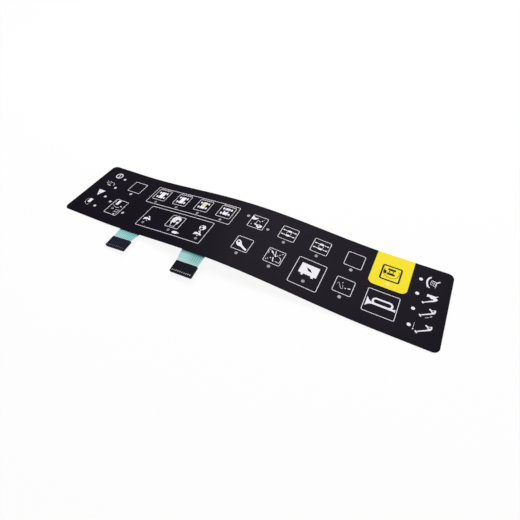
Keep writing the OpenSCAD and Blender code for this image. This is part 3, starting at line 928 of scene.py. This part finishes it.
def bent_boom(ink):
    """A slim boom from its hooked foot up to a blocky elbow, and back over it in a short hook."""
    ink.stroke((1.7, 1.3, 1.1), (13.9, 5.5), (15.2, 5), (16.4, 3.4))
    ink.stroke((1.1, 1.5), (19.1, 6.3), (19.2, 3.4))
    ink.stroke(0.6, (15, 5.2), (17, 4.9), (19, 5.6))
    ink.patch([(16.1, 3.3), (17.6, 3.4), (19.9, 4.1)], [(16.4, 1), (17.4, 1), (18.8, 1.5)])
    ink.stroke((1.3, 1.1), (17.4, 1.6), (8.2, -4))
    ink.stroke((1.2, 1.7, 0.9), (6.3, -3.9), (7.3, -4.7), (8.2, -6))


# Pieces


def lamp_signs(ink):
    """Signs of the four indicators at the left end."""
    ring_mark(ink.lamp(1, -12.1, 3.3))
    engine_mark(ink.lamp(2, -12.6, 4.5))
    ink.lamp(3, *WARNING_AT).patch([(-5.2, 5), (5.1, 5.1)], [(0, -5.5), (0, -5.5)])
    can_mark(ink.lamp(4, -12.75, 4.1))


def steering_signs(ink):
    """The four steering modes under a dashed line: each has its rise, front angle and rear angle."""
    modes = ((-0.2, 16, 16), (0, 0, 0), (0.5, 18, 0), (0.6, 6, 18))
    for key, (rise, front, rear) in zip(STEERING, modes):
        chassis_mark(ink.key(key, 0, rise), front, rear)
        ink.key(key).dashes(0.6, (-8, 10.9), (8, 10.9), 6)


def speed_signs(ink):
    """The gauge on its key, and the signs for fast and slow beside it."""
    gauge_mark(ink.key(GAUGE))
    hare_mark(ink.key(GAUGE, -36.9, -6.7))
    tortoise_mark(ink.key(GAUGE, 10.3, -14.8))
    ink.key(GAUGE, *DISC_AT).disc(0, -0.2, 4, 3.8)
    ink.stroke((1.2, 0.5), (0, -3.4), (0.2, -6.2))
    hare_mark(ink.key(GAUGE, 36.2, -6.8))


def motion_signs(ink):
    """Signs of the keys that move the machine."""
    claws_mark(ink.key(CLAWS))
    for key, rise in zip(RAILS, (0.5, 0.1)):
        rails_mark(ink.key(key, 0, rise))
    fan_mark(ink.key(FAN))
    wave_mark(ink.key(WAVE))


def boom_signs(ink):
    """Signs of the four indicators at the right end."""
    swing_mark(ink.lamp(5))
    raised_boom(ink.lamp(6))
    bent_boom(ink.lamp(7))
    ink.stroke(0.6, (17.6, -1.5), (16, -3.2))
    ink.stroke(0.35, (15.2, -3.7), (11.9, -6))
    bent_boom(ink.lamp(8))
    ink.stroke((0.2, 0.4), (4.3, 4.6), (4.1, -1.2))
    ink.disc(4.1, -2.9, 0.65)


WHITE_SIGNS = (
    lamp_signs, lever_sign, steering_signs, speed_signs, motion_signs, starter_sign, generator_sign,
    horn_sign, boom_signs,
)


def dark_signs(ink):
    """Marks in black ink on top of white ones."""
    ink.lamp(3, *WARNING_AT).stroke(0.7, (-1, 0.2), (0.5, -1.3))
    ink.stroke(0.4, (-0.6, 3.2), (0.3, 1.6))
    ink.key(GAUGE).disc(1.9, 2.4, 2.1, 1.9)
    ink.stroke((1.4, 1.2), (0.9, 0.9), (0.1, -2.2))
    ink.stroke(0.4, (-4.1, 4.1), (-1.2, 2.2))
    ink.disc(-0.3, 6.9, 0.5)
    ink.key(GAUGE, *DISC_AT).disc(-1.8, 1.3, 1.4, 1)
    ink.disc(-0.5, -1.9, 1.8, 1.6)
    ink.stroke(0.5, (-1.9, 1), (-0.8, -1.2))
    ink.stroke(0.45, (0.1, 3.5), (0.6, 0.6))
    ink.key(CLAWS).disc(3.3, -4.5, 1.2, 0.8)
    ink.key(STARTER).disc(-5.3, 1.5, 1.3)
    ink.key(GENERATOR).patch([(-3.4, 7.2), (0.8, 6.3), (1.7, 5.3), (4, 2.8)],
                             [(-3.4, 7.2), (-1.4, 4.5), (-0.4, 3.5), (4, 2.8)])


def yellow_key_signs(ink):
    """Two bars with a wheel between them, a wedge beside them and a thin arc below, in black."""
    ink.key(YELLOW).arc(0.5, 0, 1.4, 7.8, 150, 395, squash=0.95)
    ink.bar(-4, 3.9, 3.9, 6.5)
    ink.bar(-4, -2.2, 3.9, 0.4)
    for x in (-2.2, 1.9):
        ink.stroke(0.5, (x, 4.4), (x, 0))
    ink.arc(0.35, 0, 2.3, 1.7)
    ink.patch([(-7.8, 3.5), (-5, 2.4)], [(-7, -1.8), (-4.3, -1.3)])


def dress(names, material):
    """Gives carried-over nodes their finish."""
    for name in names:
        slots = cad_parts[name].data.materials
        slots.clear()
        slots.append(material)


class KEYPAD_OT_films(Operator):
    """Makes the smooth overlay, release liner and circuit film, and dresses the films between them"""

    bl_idname = "keypad.films"
    bl_label = "Films"

    def execute(self, context):
        film = film_shell(OVERLAY_Z, INK_Z - OVERLAY_Z, 0.0)
        film.piece("overlay_film", film_finish(), "overlay_black", ["graphic_overlay"])
        liner = sheet_finish("silicone paper", LINER, 0.5 * MM, 0.45)
        film_shell(0.0, LINER_T, OVERHANG).piece("liner_paper", liner, "liner", ["release_liner"])
        clear = sheet_finish("clear polyester", CLEAR_FILM, 0.8 * MM, 0.25, Coat_Weight=0.3)
        circuit = film_shell(CIRCUIT_Z - CIRCUIT_T, CIRCUIT_T, OVERHANG)
        circuit.piece("circuit_sheet", clear, "circuit_film", ["circuit_film"])
        glue = sheet_finish("acrylic glue", GLUE, 0.4 * MM, 0.3, Coat_Weight=0.4)
        spacer = sheet_finish("white polyester", WHITE_FILM, 0.9 * MM, 0.4)
        dress(["rear_adhesive", "overlay_adhesive"], glue)
        dress(["component_spacer"], spacer)
        return {"FINISHED"}


class KEYPAD_OT_tails(Operator):
    """Makes the two ribbed tails"""

    bl_idname = "keypad.tails"
    bl_label = "Tails"

    def execute(self, context):
        for tail in TAILS:
            shell, place = tail_shell(tail)
            shell.piece(f"{tail.side}_tail", tail_finish(tail, place), "circuit_film", ["circuit_film"])
        return {"FINISHED"}


class KEYPAD_OT_fields(Operator):
    """Dresses the printed outlines, the yellow field and the windows"""

    bl_idname = "keypad.fields"
    bl_label = "Printed fields"

    def execute(self, context):
        colours = settings().colours
        dress(["key_outlines"], ink_finish("white ink", colours.ink_white))
        dress(["yellow_field"], ink_finish("yellow ink", colours.ink_yellow))
        fades = [(LEFT_END, shade(colours.window_white, 0.8))]
        dress(["side_windows"], window_finish("white window", colours.window_white, fades))
        fades = [
            (LEFT_COLUMN, colours.window_pale),
            (TOP_MIDDLE, colours.window_light),
            (LAST_COLUMN, colours.window_light),
            (YELLOW_END, colours.window_cream),
        ]
        dress(["key_windows"], window_finish("grey window", colours.window_grey, fades))
        return {"FINISHED"}


class KEYPAD_OT_pictograms(Operator):
    """Makes the pictograms in white, amber, blue and black ink"""

    bl_idname = "keypad.pictograms"
    bl_label = "Pictograms"

    def execute(self, context):
        colours = settings().colours
        white = bpy.data.materials["white ink"]
        for draw in WHITE_SIGNS:
            ink = Drawing()
            draw(ink)
            ink.piece(draw.__name__, white, "ink_white")
        amber = Drawing(TOP_MARKS)
        amber.key(STEERING[2]).bar(-3.1, -1.4, 3, 3.9)
        amber.piece("amber_sign", ink_finish("amber ink", colours.ink_amber))
        blue = Drawing(TOP_MARKS)
        left, right = [(-3.1, 4.4), (-2.8, 1.3), (-0.9, -0.7)], [(3.1, 4.4), (2.8, 1.3), (0.9, -0.7)]
        blue.key(STEERING[3]).patch(left, right)
        fade = (blue.place[1] + 1.9, blue.place[1] + 5, colours.ink_white)
        blue.piece("blue_sign", ink_finish("blue ink", colours.ink_blue, fade))
        dark = Drawing(TOP_MARKS)
        dark_signs(dark)
        dark.piece("dark_signs", ink_finish("black ink", colours.film_black), "overlay_black")
        warm = Drawing(TOP_MARKS)
        yellow_key_signs(warm)
        warm.piece("yellow_key_signs", ink_finish("warm black ink", WARM_BLACK), "overlay_black")
        return {"FINISHED"}


class KEYPAD_OT_parts(Operator):
    """Dresses the plugs, their contacts, the snap domes and the indicator lamps"""

    bl_idname = "keypad.parts"
    bl_label = "Plugs, domes and lamps"

    def execute(self, context):
        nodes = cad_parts
        for tail in TAILS:
            # Painted light and shade: one nylon, lighter on the left plug and darker on the right, and one
            # tin, darker in the left plug's contacts, for the light on each
            black = shade(settings().colours.plug_black, tail.plug_tone)
            dress([f"{tail.side}_plug_housing"], moulded_finish(f"{tail.side} moulded nylon", black))
            tin = shade(TIN, tail.tin_tone)
            contact = metal_finish(f"{tail.side} tinned contact", tin, brush=0.3, metallic=0.15)
            dress([f"{tail.side}_plug_contacts"], contact)
        steel = metal_finish("dome steel", STEEL, brush=1, metallic=1)
        dress([n for n in nodes if n.startswith("snap_dome")], steel)
        dress([n for n in nodes if n.startswith("indicator_lamp")], lamp_finish())
        return {"FINISHED"}


class KEYPAD_OT_stage(Operator):
    """Makes the pale floor, the soft light and the camera"""

    bl_idname = "keypad.stage"
    bl_label = "Floor, light and camera"

    def execute(self, context):
        for make in (self.floor, self.room, self.light, self.camera):
            make(context.scene, settings().stage)
        context.scene.view_settings.view_transform = "Standard"
        return {"FINISHED"}

    def floor(self, scene, stage):
        """A wide flat floor under the panel, which looks white and keeps the shadow."""
        half = FLOOR_HALF
        corners = [(-half, -half, 0), (half, -half, 0), (half, half, 0), (-half, half, 0)]
        mesh = bpy.data.meshes.new("floor")
        mesh.from_pydata(corners, [], [(0, 1, 2, 3)])
        floor = bpy.data.objects.new("floor", mesh)
        scene.collection.objects.link(floor)
        floor.location.z = -FLOOR_GAP
        material = bpy.data.materials.new("pale floor")
        material.use_nodes = True
        tree = material.node_tree
        tree.nodes.clear()
        rays = tree.nodes.new("ShaderNodeLightPath").outputs
        seen = Value(tree, rays["Is Camera Ray"])
        for name in ("Is Glossy Ray", "Is Transmission Ray"):
            seen = seen.math("MAXIMUM", seen, Value(tree, rays[name]))
        plain = seen.node("ShaderNodeBsdfDiffuse", sockets={"Color": tuple(stage.floor)})
        white = seen.node("ShaderNodeEmission")
        mixed = seen.node("ShaderNodeMixShader", sockets={0: seen * stage.floor_white, 1: plain, 2: white})
        surface = tree.nodes.new("ShaderNodeOutputMaterial").inputs["Surface"]
        tree.links.new(mixed.socket, surface)
        mesh.materials.append(material)

    def room(self, scene, stage):
        """Even light from all round, white where the camera sees it."""
        world = bpy.data.worlds.new("room")
        world.use_nodes = True
        tree = world.node_tree
        back = tree.nodes["Background"]
        path = tree.nodes.new("ShaderNodeLightPath")
        camera = Value(tree, path.outputs["Is Camera Ray"])
        strength = camera * (1 - stage.world) + stage.world
        back.inputs["Color"].default_value = (1, 1, 1, 1)
        tree.links.new(strength.socket, back.inputs["Strength"])
        scene.world = world

    def light(self, scene, stage):
        """One large soft light above and behind the panel."""
        lamp = bpy.data.lights.new("softbox", "AREA")
        lamp.shape = "RECTANGLE"
        lamp.size = SOFTBOX_W
        lamp.size_y = SOFTBOX_H
        lamp.energy = stage.key_power
        box = bpy.data.objects.new("softbox", lamp)
        box.location = SOFTBOX_AT
        box.rotation_euler = (-box.location).to_track_quat("-Z", "Y").to_euler()
        scene.collection.objects.link(box)

    def camera(self, scene, stage):
        """The camera, turned by azimuth, elevation and roll."""
        data = bpy.data.cameras.new("camera")
        data.lens = stage.camera_lens
        camera = bpy.data.objects.new("camera", data)
        scene.collection.objects.link(camera)
        look = Euler((math.pi / 2 - stage.camera_elevation, 0, stage.camera_azimuth)).to_matrix()
        roll = Matrix.Rotation(stage.camera_roll, 3, "Z")
        camera.matrix_world = Matrix.Translation(stage.camera_place) @ (look @ roll).to_4x4()
        scene.camera = camera


STEPS = (
    KEYPAD_OT_stage, KEYPAD_OT_films, KEYPAD_OT_tails, KEYPAD_OT_fields, KEYPAD_OT_pictograms,
    KEYPAD_OT_parts,
)


class KEYPAD_PT_panel(Panel):
    """The keypad's settings and steps"""

    bl_idname = "KEYPAD_PT_panel"
    bl_label = "Membrane keypad"
    bl_space_type = "VIEW_3D"
    bl_region_type = "UI"
    bl_category = "Keypad"

    def draw(self, context):
        for group in (settings().colours, settings().sizes, settings().stage):
            box = self.layout.box()
            for name in group.__annotations__:
                box.prop(group, name)
        for step in STEPS:
            self.layout.operator(step.bl_idname)


CLASSES = (KeypadColours, KeypadSizes, KeypadStage, KeypadSettings, *STEPS, KEYPAD_PT_panel)


def register():
    for item in CLASSES:
        bpy.utils.register_class(item)
    bpy.types.Scene.keypad = PointerProperty(type=KeypadSettings)


def unregister():
    del bpy.types.Scene.keypad
    for item in reversed(CLASSES):
        bpy.utils.unregister_class(item)


def main():
    register()
    bpy.ops.keypad.stage()
    bpy.ops.keypad.films()
    bpy.ops.keypad.tails()
    bpy.ops.keypad.fields()
    bpy.ops.keypad.pictograms()
    bpy.ops.keypad.parts()


if __name__ == "__main__":
    main()
